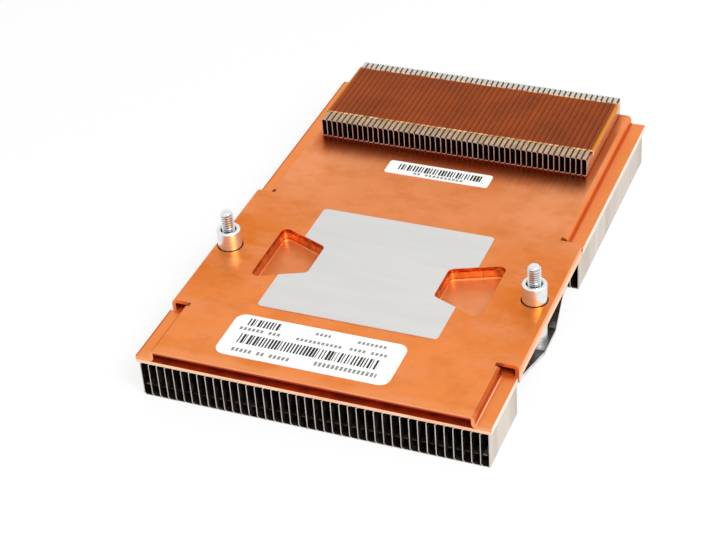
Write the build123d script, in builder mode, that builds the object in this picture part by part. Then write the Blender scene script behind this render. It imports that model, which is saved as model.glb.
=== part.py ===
"""Passive processor heatsink of a blade server, lying fin tips down with its copper contact face up.

X runs across the fins, Y along the air flow from the labelled front end to the back, and Z up.
The origin is on the plane of the fin tips, under the middle of the plate. All sizes are in millimetres.
"""

import os

from build123d import *

# Plate outline
plate_width = 95.0
plate_length = 142.0

# Stack of copper sheets above the main fins
base_thickness = 1.0
cover_thickness = 1.0
cover_raise = 2.5
cover_bend_radius = 0.4
flange_width = 4.1

# Wings that carry the fasteners, and the slits that free them from the flanges
fastener_from_front = 48.6
fastener_from_side = 4.5
wing_length = 54.2
relief_slit_width = 1.4
relief_slit_depth = 1.7
lip_clearance = 0.1

# Copper slab between cover and base, and the two pockets cut through it
core_sleeve_clearance = 1.9
core_end_setback = 7.0
pocket_side_wall = 5.6
pocket_width = 13.9
pocket_inner_length = 12.0
pocket_outer_length = 23.4
pocket_corner_radius = 1.5
pocket_step = 0.2

# Main fin stack: folded sheets that hook into each other near their tips
main_fin_count = 42
main_fin_height = 10.7
main_fin_sheet = 0.25
main_fin_fold = 0.6
main_fin_side_inset = 0.7
main_fin_end_inset = 0.3
hook_length = 3.0
hook_reach = 1.3
hook_above_tips = 2.2
hook_from_end = 1.6
fin_clearance = 0.1
cutout_fin_count = 4
cutout_fin_clearance = 0.3

# Second fin stack, on the copper face at the back end
board_fin_count = 50
board_fin_height = 5.6
board_fin_depth = 34.4
board_fin_sheet = 0.25
board_fin_fold = 0.45
board_stack_side_inset = 7.5
board_stack_back_inset = 0.1

# Film, thermal layer and stickers
film_thickness = 0.12
film_length = 26.8
film_from_stack_front = 4.3
film_wrap = 1.4
film_bend_radius = 0.3
pad_past_pocket_edge = 6.8
pad_length = 46.2
pad_thickness = 0.2
pad_pocket_margin = 0.3
pad_corner = 1.2
label_thickness = 0.12
large_label_width = 47.0
large_label_length = 16.6
large_label_corner = 2.8
large_label_offset = -4.2
large_label_from_front = 4.5
small_label_width = 30.8
small_label_length = 6.3
small_label_corner = 0.9
small_label_offset = -0.5
small_label_ratio = 0.71

# Leaf springs under the wings
spring_thickness = 1.0
spring_end_clearance = 0.3
spring_front_foot = 1.6
spring_back_foot = 3.3
spring_seat_front = 5.6
spring_seat_back = 4.3
spring_back_run = 6.8
spring_seat_above_tips = 2.6
spring_bend_radius = 2.0
spring_side_clearance = 0.55

# Sleeves and captive screws
sleeve_diameter = 6.6
sleeve_bore = 4.2
sleeve_above_cover = 5.4
sleeve_lip_thickness = 1.2
sleeve_edge = 0.35
sleeve_clearance = 0.3
screw_diameter = 3.5
screw_shank_diameter = 2.8
screw_lip_clearance = 0.15
screw_above_sleeve = 5.3
thread_above_sleeve = 0.3
screw_tip_chamfer = 0.6
head_diameter = 6.4
head_height = 2.0
head_clearance = 0.1
head_edge = 0.5
drive_width = 0.8
drive_length = 3.6
drive_depth = 1.2

# Levels and lines that follow from the sizes above
base_top = main_fin_height + base_thickness
cover_underside = base_top + cover_raise
cover_top = cover_underside + cover_thickness
half_width = plate_width / 2
front = -plate_length / 2
back = plate_length / 2
fastener_x = half_width - fastener_from_side
fastener_y = front + fastener_from_front
wing_front = fastener_y - wing_length / 2
wing_back = fastener_y + wing_length / 2
raised_half_width = half_width - flange_width
lip_inner = half_width - cover_thickness
sleeve_hole = sleeve_diameter + 2 * sleeve_clearance
sleeve_top = cover_top + sleeve_above_cover
core_half_width = fastener_x - sleeve_hole / 2 - core_sleeve_clearance
pocket_outer_x = core_half_width - pocket_side_wall
pocket_inner_x = pocket_outer_x - pocket_width
main_fin_span = plate_width - 2 * main_fin_side_inset - main_fin_sheet
main_fin_pitch = main_fin_span / (main_fin_count - 1)
main_fin_tab = main_fin_pitch - fin_clearance
cutout_depth = main_fin_side_inset + cutout_fin_count * main_fin_pitch - cutout_fin_clearance
cutout_inner = half_width - cutout_depth
spring_width = 2 * (fastener_x - cutout_inner - spring_side_clearance)
fin_front = front + main_fin_end_inset
fin_back = back - main_fin_end_inset
board_stack_width = plate_width - 2 * board_stack_side_inset
board_fin_pitch = board_stack_width / board_fin_count
board_fin_tab = board_fin_pitch - fin_clearance
board_stack_back = back - board_stack_back_inset
board_stack_front = board_stack_back - board_fin_depth
board_stack_top = cover_top + board_fin_height
film_front = board_stack_front + film_from_stack_front
film_side = board_stack_width / 2 + film_bend_radius
pad_width = 2 * (pocket_inner_x + pad_past_pocket_edge)
pad_back = fastener_y + pad_length / 2
small_label_y = pad_back + small_label_ratio * (board_stack_front - pad_back)
sides = {"left": -1, "right": 1}


def across(y):
    """Plane across the plate at y, facing the front, with X to the right and Z up."""
    return Plane.XZ.offset(-y)


def folded_section(points, radii, thickness, side):
    """Section of a sheet folded along a line of points, thickened to one side."""
    with BuildSketch() as section:
        with BuildLine():
            FilletPolyline(*points, radius=radii)
            offset(amount=thickness, side=side)
        make_face()
    return section.sketch


def pocket_pair(margin):
    """Outlines of both pockets, grown by a margin."""
    with BuildSketch() as pair:
        with BuildLine():
            Polyline(
                (pocket_inner_x, fastener_y - pocket_inner_length / 2),
                (pocket_outer_x, fastener_y - pocket_outer_length / 2),
                (pocket_outer_x, fastener_y + pocket_outer_length / 2),
                (pocket_inner_x, fastener_y + pocket_inner_length / 2),
                close=True,
            )
        make_face()
        fillet(pair.vertices(), pocket_corner_radius)
        if margin > 0:
            offset(amount=margin)
        mirror(about=Plane.YZ)
    return pair.sketch


def fin_section(height, tab, sheet, fold):
    """C section of one fin, with its tabs towards +X and its back at x = 0. Each fold is one facet."""
    with BuildSketch() as section:
        with BuildLine():
            Polyline((tab, 0), (fold, 0), (0, fold), (0, height - fold), (fold, height), (tab, height))
            offset(amount=sheet, side=Side.RIGHT, kind=Kind.INTERSECTION)
        make_face()
    return section.sketch


def main_fin(index):
    """One main fin, counted from the left. The last is a flat sheet, and those beside a wing are cut in two."""
    x = -main_fin_span / 2 - main_fin_sheet / 2 + index * main_fin_pitch
    last = index == main_fin_count - 1
    beside_wing = min(index, main_fin_count - 1 - index) < cutout_fin_count
    with BuildPart() as fin:
        with BuildSketch(across(fin_front)):
            with Locations((x, 0)):
                if last:
                    Rectangle(main_fin_sheet, main_fin_height, align=Align.MIN)
                else:
                    add(fin_section(main_fin_height, main_fin_tab, main_fin_sheet, main_fin_fold))
        extrude(amount=fin_front - fin_back)
        if not last:
            hook_starts = [fin_front + hook_from_end, fin_back - hook_from_end - hook_length]
            with Locations(*[(x, y, hook_above_tips) for y in hook_starts]):
                Box(hook_reach, hook_length, main_fin_sheet, align=Align.MIN)
        with Locations((x if beside_wing else cutout_inner, fastener_y, 0)):
            from_left = (Align.MIN, Align.CENTER, Align.MIN)
            Box(main_fin_pitch, wing_length, main_fin_height, align=from_left, mode=Mode.SUBTRACT)
    return fin.part


def write(part, name):
    """Labels a finished piece and writes it."""
    part.label = name
    export_step(part, f"parts/{name}.step")


os.makedirs("parts", exist_ok=True)

# Base sheet: flat, narrower beside the wings so that it fits between their lips
with BuildPart() as base_sheet:
    with BuildSketch(Plane.XY.offset(main_fin_height)):
        Rectangle(plate_width, plate_length)
        for side in sides.values():
            with Locations((side * half_width, fastener_y)):
                Rectangle(
                    2 * (cover_thickness + lip_clearance),
                    wing_length + 2 * relief_slit_width,
                    mode=Mode.SUBTRACT,
                )
        with Locations((-fastener_x, fastener_y), (fastener_x, fastener_y)):
            Circle(sleeve_hole / 2, mode=Mode.SUBTRACT)
    extrude(amount=base_thickness)
write(base_sheet.part, "base_sheet")

# Cover: a raised tray, folded down to flanges at its four corners and to lips at its two wings
flange_fold = raised_half_width - cover_thickness
outer_bend_radius = cover_bend_radius + cover_thickness
with BuildPart() as cover_plate:
    tray_line = [
        (-half_width, base_top),
        (-flange_fold, base_top),
        (-flange_fold, cover_underside),
        (flange_fold, cover_underside),
        (flange_fold, base_top),
        (half_width, base_top),
    ]
    tray_radii = [outer_bend_radius, cover_bend_radius, cover_bend_radius, outer_bend_radius]
    tray_section = folded_section(tray_line, tray_radii, cover_thickness, Side.LEFT)
    tray_stretches = [(front, wing_front - relief_slit_width), (wing_back + relief_slit_width, back)]
    for start, end in tray_stretches:
        with BuildSketch(across(start)):
            add(tray_section)
        extrude(amount=start - end)
    wing_line = [
        (-lip_inner, main_fin_height),
        (-lip_inner, cover_underside),
        (lip_inner, cover_underside),
        (lip_inner, main_fin_height),
    ]
    with BuildSketch(across(wing_front)):
        add(folded_section(wing_line, cover_bend_radius, cover_thickness, Side.LEFT))
    extrude(amount=-wing_length)
    with BuildSketch(Plane.XY.offset(cover_underside)):
        with Locations((0, fastener_y)):
            Rectangle(2 * (raised_half_width - relief_slit_depth), wing_length + 2 * relief_slit_width)
    extrude(amount=cover_thickness)
    with BuildSketch(Plane.XY.offset(cover_top)):
        add(pocket_pair(pocket_step))
        with Locations((-fastener_x, fastener_y), (fastener_x, fastener_y)):
            Circle(sleeve_hole / 2)
    extrude(amount=-cover_thickness, mode=Mode.SUBTRACT)
write(cover_plate.part, "cover_plate")

# Spreader core: copper slab that fills the tray, cut through at the pockets
with BuildPart() as spreader_core:
    with BuildSketch(Plane.XY.offset(base_top)):
        Rectangle(2 * core_half_width, plate_length - 2 * core_end_setback)
        add(pocket_pair(0), mode=Mode.SUBTRACT)
    extrude(amount=cover_raise)
write(spreader_core.part, "spreader_core")

# Main fins: hooked side by side from one edge of the plate to the other
for index in range(main_fin_count):
    write(main_fin(index), f"main_fin_{index + 1:02d}")

# Second fin stack: low folded fins side by side, closed by a flat sheet at the left
with BuildPart() as board_side_fins:
    low_fin = fin_section(board_fin_height, board_fin_tab, board_fin_sheet, board_fin_fold).mirror(Plane.YZ)
    with BuildSketch(across(board_stack_front)):
        with GridLocations(board_fin_pitch, 0, board_fin_count, 1):
            with Locations((board_fin_tab / 2, cover_top)):
                add(low_fin)
        with Locations((-board_stack_width / 2, cover_top)):
            Rectangle(board_fin_sheet, board_fin_height - board_fin_fold, align=(Align.MAX, Align.MIN))
    extrude(amount=-board_fin_depth)
write(board_side_fins.part, "board_side_fins")

# Insulating film: laid on the second stack and folded down at both of its sides
with BuildPart() as insulating_film:
    film_line = [
        (-film_side, board_stack_top - film_wrap),
        (-film_side, board_stack_top),
        (film_side, board_stack_top),
        (film_side, board_stack_top - film_wrap),
    ]
    with BuildSketch(across(film_front)):
        add(folded_section(film_line, film_bend_radius, film_thickness, Side.LEFT))
    extrude(amount=-film_length)
write(insulating_film.part, "insulating_film")

# Thermal layer: a rectangle that leaves the pockets free
with BuildPart() as thermal_pad:
    with BuildSketch(Plane.XY.offset(cover_top)):
        with Locations((0, fastener_y)):
            RectangleRounded(pad_width, pad_length, pad_corner)
        add(pocket_pair(pad_pocket_margin), mode=Mode.SUBTRACT)
    extrude(amount=pad_thickness)
write(thermal_pad.part, "thermal_pad")

# Stickers: a large one at the front and a small one between the thermal layer and the second stack
with BuildPart() as large_label:
    with BuildSketch(Plane.XY.offset(cover_top)):
        with Locations((large_label_offset, front + large_label_from_front + large_label_length / 2)):
            RectangleRounded(large_label_width, large_label_length, large_label_corner)
    extrude(amount=label_thickness)
write(large_label.part, "large_label")

with BuildPart() as small_label:
    with BuildSketch(Plane.XY.offset(cover_top)):
        with Locations((small_label_offset, small_label_y)):
            RectangleRounded(small_label_width, small_label_length, small_label_corner)
    extrude(amount=label_thickness)
write(small_label.part, "small_label")

# Fasteners: on each side a leaf spring, a sleeve that stands on its seat, and a screw through both
spring_foot_underside = main_fin_height - spring_thickness
spring_seat_top = spring_seat_above_tips + spring_thickness
spring_reach = wing_length / 2 - spring_end_clearance
spring_back_bend = spring_seat_back + spring_back_run
lip_radius = screw_shank_diameter / 2 + screw_lip_clearance
lip_top = spring_seat_top + sleeve_lip_thickness
head_top = spring_seat_above_tips - head_clearance
head_bottom = head_top - head_height
thread_start = sleeve_top + thread_above_sleeve
screw_tip = sleeve_top + screw_above_sleeve
for side, sign in sides.items():
    x = sign * fastener_x
    axis = Axis((x, fastener_y, 0), (0, 0, 1))
    beside_axis = Plane(origin=(x, fastener_y, 0), x_dir=(1, 0, 0), z_dir=(0, -1, 0))

    with BuildPart() as leaf_spring:
        spring_line = [
            (-spring_reach, spring_foot_underside),
            (spring_front_foot - spring_reach, spring_foot_underside),
            (-spring_seat_front, spring_seat_above_tips),
            (spring_seat_back, spring_seat_above_tips),
            (spring_back_bend, spring_foot_underside),
            (spring_back_bend + spring_back_foot, spring_foot_underside),
        ]
        bow_plane = Plane(origin=(x - spring_width / 2, fastener_y, 0), x_dir=(0, 1, 0), z_dir=(1, 0, 0))
        with BuildSketch(bow_plane):
            add(folded_section(spring_line, spring_bend_radius, spring_thickness, Side.LEFT))
        extrude(amount=spring_width)
        with Locations((x, fastener_y, spring_seat_top)):
            Hole(screw_diameter / 2 + sleeve_clearance, depth=spring_thickness)
    write(leaf_spring.part, f"{side}_leaf_spring")

    with BuildPart() as sleeve:
        with BuildSketch(beside_axis):
            with BuildLine():
                Polyline(
                    (lip_radius, spring_seat_top),
                    (sleeve_diameter / 2, spring_seat_top),
                    (sleeve_diameter / 2, sleeve_top - sleeve_edge),
                    (sleeve_diameter / 2 - sleeve_edge, sleeve_top),
                    (sleeve_bore / 2 + sleeve_edge, sleeve_top),
                    (sleeve_bore / 2, sleeve_top - sleeve_edge),
                    (sleeve_bore / 2, lip_top),
                    (lip_radius, lip_top),
                    close=True,
                )
            make_face()
        revolve(axis=axis)
    write(sleeve.part, f"{side}_sleeve")

    with BuildPart() as screw:
        with BuildSketch(beside_axis):
            with BuildLine():
                Polyline(
                    (0, head_bottom),
                    (head_diameter / 2 - head_edge, head_bottom),
                    (head_diameter / 2, head_bottom + head_edge),
                    (head_diameter / 2, head_top),
                    (screw_shank_diameter / 2, head_top),
                    (screw_shank_diameter / 2, thread_start),
                    (screw_diameter / 2, thread_start),
                    (screw_diameter / 2, screw_tip - screw_tip_chamfer),
                    (screw_diameter / 2 - screw_tip_chamfer, screw_tip),
                    (0, screw_tip),
                    close=True,
                )
            make_face()
        revolve(axis=axis)
        with BuildSketch(Plane.XY.offset(head_bottom)):
            with Locations((x, fastener_y)):
                Rectangle(drive_length, drive_width)
                Rectangle(drive_width, drive_length)
        extrude(amount=drive_depth, mode=Mode.SUBTRACT)
    write(screw.part, f"{side}_screw")
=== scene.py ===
"""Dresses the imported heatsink: copper, fins, film, stickers, leaf springs and threaded screws, on a white table.

Lengths are in metres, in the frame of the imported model: X across the fins, Y along the air flow, Z up.
"""

import contextlib
import math

import bmesh
import bpy
from mathutils import Matrix, Vector


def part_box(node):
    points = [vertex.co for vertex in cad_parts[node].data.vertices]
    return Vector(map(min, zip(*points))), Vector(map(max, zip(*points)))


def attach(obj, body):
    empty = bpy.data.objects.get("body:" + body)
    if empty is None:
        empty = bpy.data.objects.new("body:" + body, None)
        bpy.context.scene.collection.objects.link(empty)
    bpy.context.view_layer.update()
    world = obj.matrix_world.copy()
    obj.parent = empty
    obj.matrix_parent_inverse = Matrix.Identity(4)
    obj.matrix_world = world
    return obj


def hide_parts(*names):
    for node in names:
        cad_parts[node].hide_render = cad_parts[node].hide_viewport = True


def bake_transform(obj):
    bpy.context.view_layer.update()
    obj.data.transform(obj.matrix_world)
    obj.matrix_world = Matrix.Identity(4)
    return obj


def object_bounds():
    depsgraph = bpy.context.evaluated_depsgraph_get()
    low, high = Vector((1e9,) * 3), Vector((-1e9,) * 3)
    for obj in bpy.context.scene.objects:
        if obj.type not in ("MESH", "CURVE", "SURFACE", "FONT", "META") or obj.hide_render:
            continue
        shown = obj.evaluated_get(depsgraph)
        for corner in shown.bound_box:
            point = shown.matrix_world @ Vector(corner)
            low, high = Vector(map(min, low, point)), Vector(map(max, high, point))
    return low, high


bl_info = {
    "name": "Heatsink Dressing",
    "version": (1, 0, 0),
    "blender": (4, 5, 0),
    "location": "View3D > Sidebar > Heatsink",
    "description": "Gives a packed processor heatsink its copper, fins, film, stickers and threads",
    "category": "Object",
}

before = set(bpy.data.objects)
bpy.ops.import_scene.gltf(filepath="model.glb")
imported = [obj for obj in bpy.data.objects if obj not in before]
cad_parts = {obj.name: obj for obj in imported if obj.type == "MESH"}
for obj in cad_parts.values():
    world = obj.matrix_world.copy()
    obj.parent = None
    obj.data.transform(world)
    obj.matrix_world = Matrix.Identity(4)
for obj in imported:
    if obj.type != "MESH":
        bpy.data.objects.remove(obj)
CAD_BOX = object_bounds()

MM = 0.001
ROOT = "heatsink"
SIDES = ("left", "right")
MERGE_DISTANCE = 0.001 * MM
NEAR = 0.05 * MM
GRAIN, COARSE_GRAIN = 0.02 * MM, 0.03 * MM
FLAT_ANGLE = math.radians(1)
THREAD_ANGLE, SHEET_ANGLE, FIN_ANGLE = (math.radians(angle) for angle in (32, 35, 50))
COVER_LOW, COVER_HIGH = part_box("cover_plate")
FLANGE_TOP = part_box("base_sheet")[1].z + 1.0 * MM
TRAY_WALL = COVER_HIGH.x - 4.1 * MM
WING_FRONT, WING_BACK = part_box("left_leaf_spring")[0].y - 1 * MM, 6 * MM
STACK_LOW, STACK_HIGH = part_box("board_side_fins")
STACK_PITCH = 1.6 * MM
FOLD = 0.7 * MM
FIN_NODES = sorted(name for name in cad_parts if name.startswith("main_fin_"))
FIN_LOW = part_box(FIN_NODES[0])[0]
FIN_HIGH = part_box(FIN_NODES[-1])[1]
HOOK_LOW, HOOK_HIGH = 2.2 * MM, 2.45 * MM
SPRING_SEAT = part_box("left_sleeve")[0].z
TAB_REACH, FIN_GAP = 0.36 * MM, 0.08 * MM
SPRING_EDGE, TURNED_EDGE = 0.10 * MM, 0.08 * MM
SCREW_RADIUS = 1.75 * MM
THREAD_STEPS = 36
TABLE_RADIUS, TABLE_THICKNESS, TABLE_GLOW = 3.0, 0.02, 0.80
ROOM_LIGHT = 0.62


def colour_setting(description, default):
    """A colour that can be changed in the panel."""
    return bpy.props.FloatVectorProperty(
        description=description, subtype="COLOR", default=default, min=0.0, max=1.0
    )


def length_setting(description, default, smallest=0.0):
    """A length that can be changed in the panel."""
    return bpy.props.FloatProperty(
        description=description, default=default, min=smallest, unit="LENGTH", precision=5
    )


def angle_setting(description, degrees):
    """An angle that can be changed in the panel."""
    return bpy.props.FloatProperty(description=description, default=math.radians(degrees), subtype="ANGLE")


class PlateSettings(bpy.types.PropertyGroup):
    """Copper sheets, core and thermal layer."""

    edge_softness: length_setting("Width of the rounded edges of the copper sheets", 0.14 * MM)
    front_copper: colour_setting("Rolled copper at the front end", (0.880, 0.275, 0.076))
    back_copper: colour_setting("Rolled copper at the back end, a little rosier", (0.790, 0.272, 0.104))
    rosy_copper: colour_setting("Pinker clouds on the rolled copper", (0.840, 0.300, 0.120))
    pale_copper: colour_setting("Brighter copper beside the second stack", (0.900, 0.360, 0.165))
    tanned_copper: colour_setting("Copper browned by handling, around the screws", (0.735, 0.190, 0.028))
    # Dark copper used as painted shade at the foot of the second stack, on the creases and tray walls, on the left
    # edge and on the lower front edge; it is also the dark copper of the pocket rims and of the joint at the
    # core's foot
    shade_and_stain_copper: colour_setting("Copper stained by the soldering of the second stack", (0.400, 0.030, 0.002))
    vivid_copper: colour_setting("Clean copper inside pockets and tray", (0.900, 0.430, 0.170))
    cutter_glint: colour_setting("Light in the cutter's streaks", (0.94, 0.42, 0.13))
    # Painted highlight on the solder line at the foot of the core
    solder: colour_setting("Bright line of solder at the foot of the core", (0.97, 0.78, 0.58))
    # Painted light on the base sheet where light comes in through the relief slits
    slit_light: colour_setting("Base sheet seen through the relief slits", (0.95, 0.15, 0.02))
    gloss: colour_setting("Tint of the copper's reflections", (0.95, 0.72, 0.55))
    bare_edge: colour_setting("Sheared edges of the copper sheets", (0.900, 0.360, 0.150))
    # Painted highlight on the edges of the base sheet, on the lower part of the lips and on the creases at the
    # front
    highlight_edge: colour_setting("Bright edges of the base sheet, flanges and lips", (0.950, 0.640, 0.420))
    # Painted highlight on the long side edges of the sheets and flanges
    side_highlight: colour_setting("Long edges of the base sheet and flanges", (0.90, 0.79, 0.70))
    cavity: colour_setting("Clean copper of the base sheet inside the tray", (0.600, 0.050, 0.007))
    thermal_grey: colour_setting("Colour of the thermal layer", (0.605, 0.600, 0.585))


class FinSettings(bpy.types.PropertyGroup):
    """Both fin stacks and the film on the upper one."""

    cut_edge: colour_setting("Sheared edges of the main fins", (0.58, 0.55, 0.51))
    dull_edge: colour_setting("Duller stretches of the cut edges", (0.42, 0.385, 0.35))
    outer_fin: colour_setting("Outer faces of the first and last main fins", (0.63, 0.55, 0.48))
    stack_side: colour_setting("Sides of the second stack", (0.80, 0.52, 0.36))
    # Painted shade on the walls inside the cells of the main fins
    cell: colour_setting("Dulled walls between the main fins", (0.016, 0.009, 0.006))
    cell_haze: colour_setting("Lighter patches on the cell walls", (0.075, 0.055, 0.045))
    # Painted shade on the hooks inside the cells
    hook: colour_setting("Hooks between the main fins", (0.085, 0.060, 0.045))
    hook_haze: colour_setting("Lighter patches on the hooks", (0.20, 0.15, 0.11))
    plated_tab: colour_setting("Tabs and edges of the second stack", (0.52, 0.34, 0.21))
    plated_edge: colour_setting("Cut edges of the second stack", (0.58, 0.50, 0.45))
    dull_plated_edge: colour_setting("Duller stretches of those edges", (0.42, 0.34, 0.28))
    # Painted shade on the walls inside the second stack
    plated_cell: colour_setting("Walls inside the second stack", (0.026, 0.004, 0.002))
    plated_haze: colour_setting("Lighter patches on those walls", (0.060, 0.012, 0.006))
    # Painted shade on the folds, which darkens the slits between the tabs
    fold: colour_setting("Rounded folds of the second stack", (0.075, 0.052, 0.032))
    fold_haze: colour_setting("Lighter patches on the folds", (0.18, 0.14, 0.09))
    film: colour_setting("Insulating film over the second stack", (0.165, 0.028, 0.003))
    film_shine: colour_setting("Film where it lies on a fin", (0.42, 0.110, 0.020))
    # Painted highlight where the film folds down at its sides
    film_fold_highlight: colour_setting("Film where it folds down", (0.62, 0.230, 0.028))
    film_edge: colour_setting("Light caught in the film's cut edges", (0.90, 0.58, 0.27))


class FastenerSettings(bpy.types.PropertyGroup):
    """Screws, sleeves and leaf springs."""

    thread_pitch: length_setting("Rise of the screw thread in one turn", 0.7 * MM, 0.1 * MM)
    thread_depth: length_setting("Height of the thread from root to crest", 0.36 * MM)
    plating: colour_setting("Zinc plating of screws and sleeves", (0.80, 0.82, 0.83))
    blue_haze: colour_setting("Stains on the plating", (0.60, 0.72, 0.73))
    # Painted shade in the roots of the screw thread
    thread_root_shade: colour_setting("Grime at the root of the thread", (0.27, 0.30, 0.30))
    # Painted shade of the narrow gap where the sleeves pass through the cover
    sleeve_gap_shade: colour_setting("Ring on the sleeves where they meet the cover", (0.10, 0.055, 0.035))
    spring_steel: colour_setting("Bare steel of the leaf springs", (0.52, 0.50, 0.48))


class StickerSettings(bpy.types.PropertyGroup):
    """Stickers and their plain bars."""

    paper: colour_setting("Face of the stickers", (0.90, 0.90, 0.89))
    ink: colour_setting("Bars on the stickers", (0.010, 0.009, 0.009))
    bar_pitch: length_setting("Distance from bar to bar on the stickers", 0.86 * MM, 0.05 * MM)
    dash_pitch: length_setting("Distance from dash to dash on the stickers", 1.15 * MM, 0.05 * MM)


class StageSettings(bpy.types.PropertyGroup):
    """Camera, table and light."""

    azimuth: angle_setting("Turn of the camera to the right of the front end", 24.50)
    elevation: angle_setting("Height of the camera above the horizon", 35.82)
    roll: angle_setting("Clockwise tilt of the camera", 4.61)
    distance: length_setting("From the aim to the camera", 0.4982)
    aim: bpy.props.FloatVectorProperty(
        description="Point in the middle of the picture", subtype="TRANSLATION", precision=4,
        default=(-6.5 * MM, -24.7 * MM, 15.2 * MM),
    )
    lens: bpy.props.FloatProperty(
        description="Focal length in millimetres for a 36 mm sensor", default=96.6, min=1.0
    )
    floor: colour_setting("Colour of the table", (0.93, 0.93, 0.93))


SETTINGS = {
    "heatsink_plates": PlateSettings,
    "heatsink_fins": FinSettings,
    "heatsink_fasteners": FastenerSettings,
    "heatsink_stickers": StickerSettings,
    "heatsink_stage": StageSettings,
}


class Field:
    """A socket in a material. Arithmetic on it adds Math nodes."""

    def __init__(self, finish, socket):
        self.finish = finish
        self.socket = socket

    def __add__(self, other):
        return self.finish.math("ADD", self, other)

    __radd__ = __add__

    def __sub__(self, other):
        return self.finish.math("SUBTRACT", self, other)

    def __rsub__(self, other):
        return self.finish.math("SUBTRACT", other, self)

    def __mul__(self, other):
        return self.finish.math("MULTIPLY", self, other)

    __rmul__ = __mul__

    def __truediv__(self, other):
        return self.finish.math("DIVIDE", self, other)

    def __gt__(self, other):
        return self.finish.math("GREATER_THAN", self, other)

    def __lt__(self, other):
        return self.finish.math("LESS_THAN", self, other)

    def __abs__(self):
        return self.finish.math("ABSOLUTE", self)

    def floor(self):
        return self.finish.math("FLOOR", self)

    def root(self):
        return self.finish.math("SQRT", self)

    def fraction(self):
        return self.finish.math("FRACT", self)

    def between(self, low, high):
        return (self > low) * (self < high)

    def either(self, other):
        return self.finish.math("MAXIMUM", self, other)


class Finish:
    """The nodes of a material, or of the world, under construction."""

    def __init__(self, name, owner=None):
        self.owner = owner or bpy.data.materials.new(name)
        self.owner.use_nodes = True
        self.tree = self.owner.node_tree
        self.tree.nodes.clear()

    def node(self, kind, options=None, inputs=None, output=0):
        """Adds a node, sets it up, fills or links its sockets and returns one of its outputs."""
        made = self.tree.nodes.new(kind)
        for name, value in (options or {}).items():
            setattr(made, name, value)
        for name, value in (inputs or {}).items():
            if isinstance(value, Field):
                self.tree.links.new(value.socket, made.inputs[name])
            else:
                made.inputs[name].default_value = value
        return Field(self, made.outputs[output]) if made.outputs else None

    def math(self, operation, first, second=0.0):
        return self.node("ShaderNodeMath", {"operation": operation}, {0: first, 1: second})

    def position(self, **changes):
        """Object coordinates, after a change of their location, rotation or scale."""
        place = self.node("ShaderNodeTexCoord", output="Object")
        if not changes:
            return place
        sockets = {name.title(): value for name, value in changes.items()}
        return self.node("ShaderNodeMapping", inputs={"Vector": place, **sockets})

    def axes(self, **changes):
        """X, Y and Z of the position."""
        split = self.node("ShaderNodeSeparateXYZ", inputs={"Vector": self.position(**changes)})
        return [Field(self, output) for output in split.socket.node.outputs]

    def noise(self, density, detail=3, roughness=0.6, **changes):
        inputs = {"Vector": self.position(**changes), "Scale": density, "Detail": detail, "Roughness": roughness}
        return self.node("ShaderNodeTexNoise", inputs=inputs)

    def streaks(self, scale, detail=3, roughness=0.6, **changes):
        """Noise that is stretched along the axes."""
        return self.noise(1.0, detail, roughness, scale=scale, **changes)

    def chance(self, seed):
        """A number from zero to one that is fixed for each seed."""
        return self.node("ShaderNodeTexWhiteNoise", {"noise_dimensions": "1D"}, {"W": seed})

    def span(self, value, low, high, to_low=0.0, to_high=1.0):
        """A value mapped from one range to another, and held inside it."""
        inputs = {"Value": value, "From Min": low, "From Max": high, "To Min": to_low, "To Max": to_high}
        return self.node("ShaderNodeMapRange", {"clamp": True}, inputs)

    def mix(self, factor, first, second):
        """Colour between two colours."""
        colours = {0: factor, 6: opaque(first), 7: opaque(second)}
        return self.node("ShaderNodeMix", {"data_type": "RGBA"}, colours, output=2)

    def bump(self, height, strength, distance=GRAIN):
        return self.node("ShaderNodeBump", inputs={"Height": height, "Strength": strength, "Distance": distance})

    def surface(self, **sockets):
        """Closes the material with a Principled surface and returns it."""
        named = {name.replace("_", " ").title().replace("Ior", "IOR"): value for name, value in sockets.items()}
        shader = self.node("ShaderNodeBsdfPrincipled", inputs=named)
        self.node("ShaderNodeOutputMaterial", inputs={"Surface": shader})
        return self.owner


def opaque(colour):
    """A colour with full alpha, or a linked colour as it is."""
    return colour if isinstance(colour, Field) else (*colour, 1.0)


def toned(colour, share):
    """A colour made darker or lighter by a share."""
    return tuple(min(1.0, share * channel) for channel in colour)


def settings(group):
    """A group of the scene's settings."""
    return getattr(bpy.context.scene, f"heatsink_{group}")


def take_up(piece):
    """Makes one object the only selected and active one."""
    bpy.ops.object.select_all(action="DESELECT")
    piece.select_set(True)
    bpy.context.view_layer.objects.active = piece


@contextlib.contextmanager
def editing():
    """Edit mode for the active object."""
    bpy.ops.object.mode_set(mode="EDIT")
    yield
    bpy.ops.object.mode_set(mode="OBJECT")


def apply(piece, kind, **values):
    """Adds a modifier with these values and applies it."""
    modifier = piece.modifiers.new(kind.title(), kind)
    for name, value in values.items():
        setattr(modifier, name, value)
    bpy.ops.object.modifier_apply(modifier=modifier.name)


def clean_copy(node, name):
    """A copy of a CAD node with a mesh of its own, its triangles merged into flat faces."""
    piece = bpy.data.objects.new(name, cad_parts[node].data.copy())
    piece.data.materials.clear()
    bpy.context.scene.collection.objects.link(piece)
    take_up(piece)
    bpy.ops.mesh.customdata_custom_splitnormals_clear()
    with editing():
        bpy.ops.mesh.select_all(action="SELECT")
        bpy.ops.mesh.remove_doubles(threshold=MERGE_DISTANCE)
        bpy.ops.mesh.dissolve_limited(angle_limit=FLAT_ANGLE)
    return piece


def select(piece, chosen):
    """In edit mode, selects the vertices that a function of the vertex chooses, and what lies between them."""
    bpy.ops.mesh.select_mode(type="VERT")
    bpy.ops.mesh.select_all(action="DESELECT")
    mesh = bmesh.from_edit_mesh(piece.data)
    for vertex in mesh.verts:
        vertex.select_set(chosen(vertex))
    mesh.select_flush(True)
    bmesh.update_edit_mesh(piece.data)


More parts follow.
